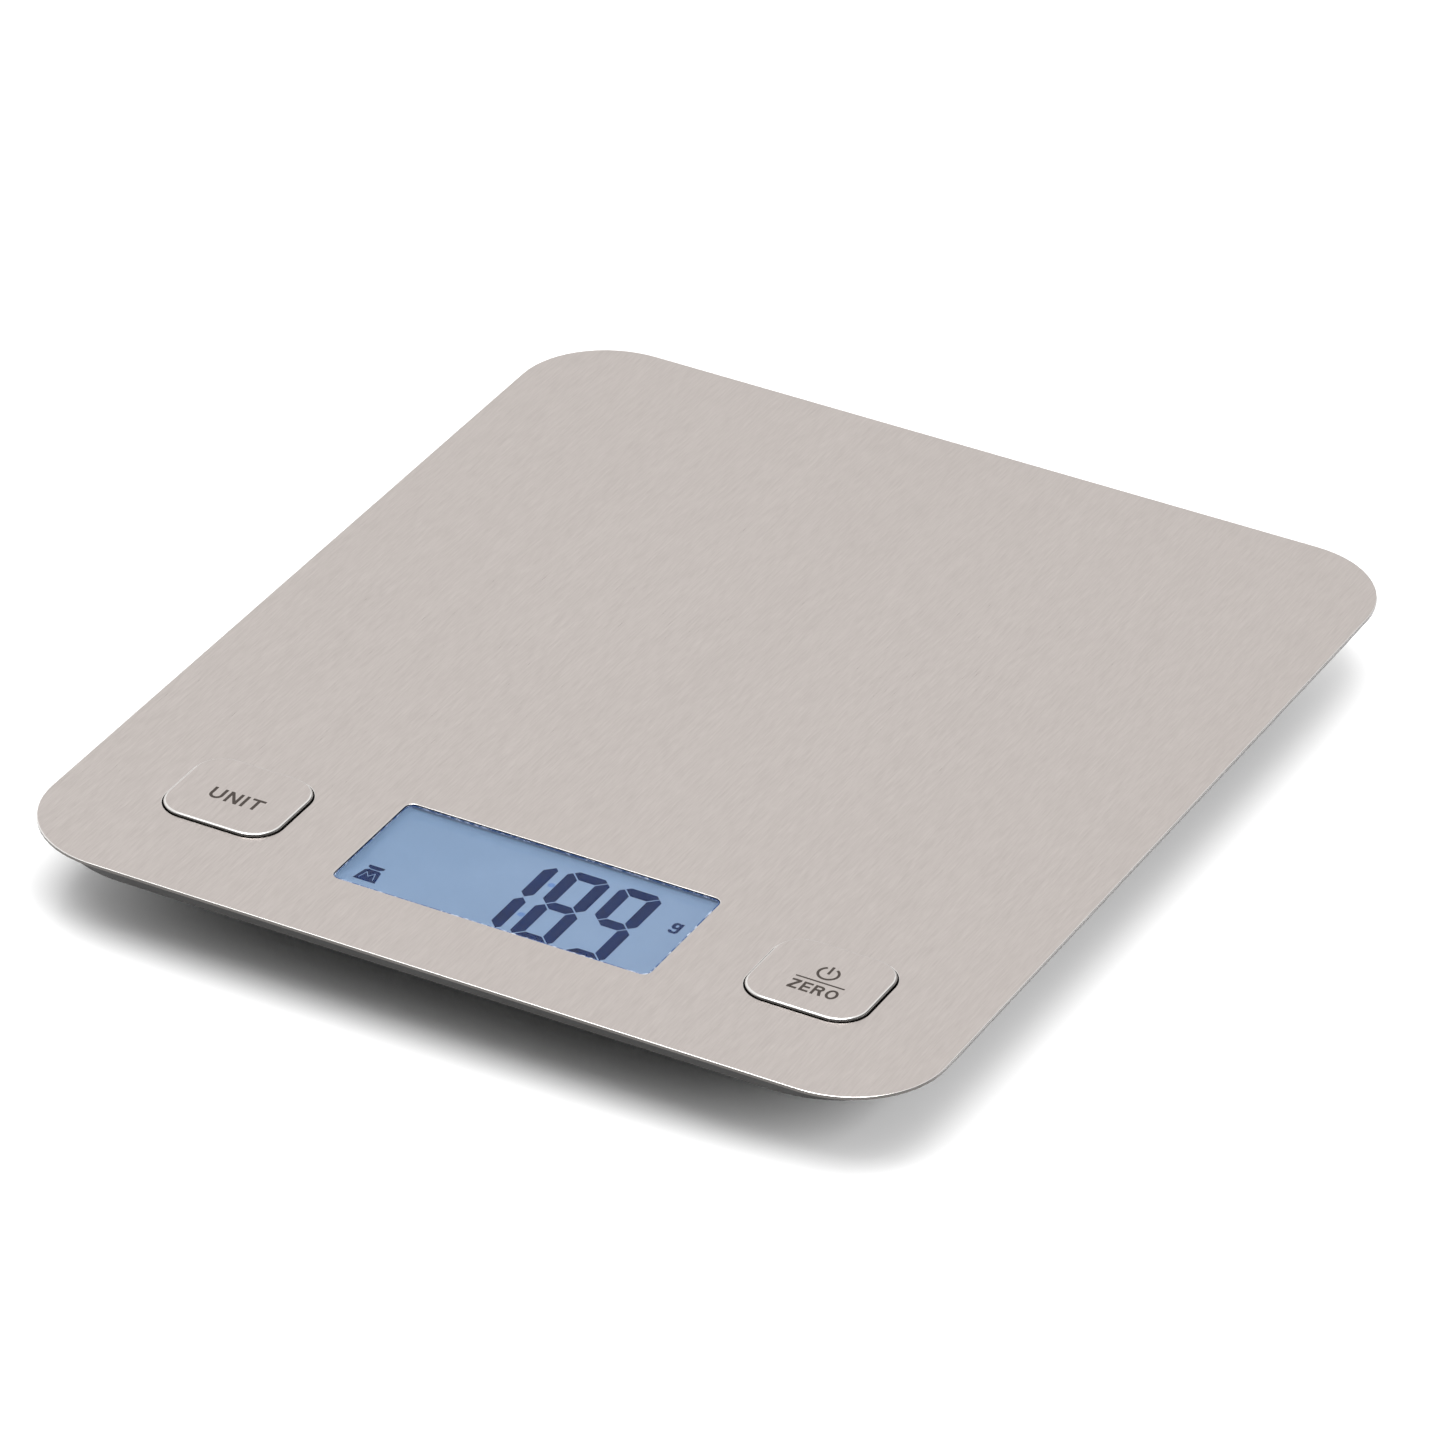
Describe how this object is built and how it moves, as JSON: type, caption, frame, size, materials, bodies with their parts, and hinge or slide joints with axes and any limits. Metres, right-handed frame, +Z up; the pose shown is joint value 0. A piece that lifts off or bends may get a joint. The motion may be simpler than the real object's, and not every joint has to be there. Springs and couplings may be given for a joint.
{
  "type": "kitchen scale",
  "caption": "Slim digital kitchen scale with a brushed steel platform, backlit display, raised steel buttons and four weighing feet.",
  "frame": {"origin": "on the table under the middle of the platform: bottom centre of the bounding box", "axes": "+X to the user's right, +Y from the display side towards the back, +Z up"},
  "size_m": [0.16, 0.19, 0.017],
  "materials": {
    "steel_sheet": "brushed front to back, polished edge",
    "adhesive_film": "translucent film",
    "black_abs": "fine moulded texture",
    "label_foil": "satin silver label stock, blank",
    "screw_steel": "zinc plated",
    "clear_lens": "clear acrylic, polished",
    "polarizer_film": "glossy film",
    "lcd_glass": "polished",
    "light_guide": "frosted, lit blue",
    "led_white": "moulded",
    "conductive_rubber": "striped silicone",
    "white_abs": "moulded",
    "circuit_board": "green solder mask",
    "chip_epoxy": "black epoxy",
    "switch_body": "moulded",
    "grey_abs": "moulded",
    "battery_sleeve": null,
    "contact_steel": "nickel plated",
    "red_insulation": "soft insulation",
    "black_insulation": "soft insulation",
    "cell_steel": "nickel plated",
    "gauge_silicone": "white silicone coat",
    "cable_jacket": "soft jacket",
    "pad_rubber": "matt rubber"
  },
  "bodies": {
    "root": {"platform_plate": "steel_sheet", "plate_adhesive": "adhesive_film", "top_frame": "black_abs", "bottom_cover": "black_abs", "rating_label": "label_foil", "housing_screws": "screw_steel", "display_lens": "clear_lens", "lcd_front_polarizer": "polarizer_film", "lcd_glass": "lcd_glass", "lcd_rear_polarizer": "polarizer_film", "backlight_guide": "light_guide", "backlight_leds": "led_white", "zebra_strip": "conductive_rubber", "lcd_carrier": "white_abs", "main_board": "circuit_board", "controller_chip": "chip_epoxy", "surface_mount_parts": "chip_epoxy", "sensor_connectors": "white_abs", "battery_connector": "white_abs", "board_screws": "screw_steel", "unit_switch_body": "switch_body", "zero_switch_body": "switch_body", "battery_1": "battery_sleeve", "battery_2": "battery_sleeve", "contact_positive": "contact_steel", "contact_negative": "contact_steel", "contact_bridge": "contact_steel", "battery_wire_red": "red_insulation", "battery_wire_black": "black_insulation", "load_cell_front_left": "cell_steel", "load_cell_front_right": "cell_steel", "load_cell_rear_left": "cell_steel", "load_cell_rear_right": "cell_steel", "strain_gauge_front_left": "gauge_silicone", "strain_gauge_front_right": "gauge_silicone", "strain_gauge_rear_left": "gauge_silicone", "strain_gauge_rear_right": "gauge_silicone", "cell_holder_front_left": "grey_abs", "cell_holder_front_right": "grey_abs", "cell_holder_rear_left": "grey_abs", "cell_holder_rear_right": "grey_abs", "sensor_cable_front_left": "cable_jacket", "sensor_cable_front_right": "cable_jacket", "sensor_cable_rear_left": "cable_jacket", "sensor_cable_rear_right": "cable_jacket", "foot_front_left": "grey_abs", "foot_front_right": "grey_abs", "foot_rear_left": "grey_abs", "foot_rear_right": "grey_abs", "foot_pad_front_left": "pad_rubber", "foot_pad_front_right": "pad_rubber", "foot_pad_rear_left": "pad_rubber", "foot_pad_rear_right": "pad_rubber"},
    "battery_door": {"battery_door": "black_abs"},
    "unit_button": {"unit_button_cap": "steel_sheet", "unit_button_key": "grey_abs", "unit_switch_plunger": "switch_body"},
    "zero_button": {"zero_button_cap": "steel_sheet", "zero_button_key": "grey_abs", "zero_switch_plunger": "switch_body"}
  },
  "joints": [
    {"name": "unit_press", "type": "slide", "parent": "root", "child": "unit_button", "axis": [0, 0, -1], "range_m": [0, 0.0003], "stiffness_N_per_m": 2000},
    {"name": "zero_press", "type": "slide", "parent": "root", "child": "zero_button", "axis": [0, 0, -1], "range_m": [0, 0.0003], "stiffness_N_per_m": 2000},
    {"name": "battery_door_hinge", "type": "hinge", "parent": "root", "child": "battery_door", "pos_m": [0, 0.031, 0.002], "axis": [1, 0, 0], "range_deg": [0, 80]}
  ]
}
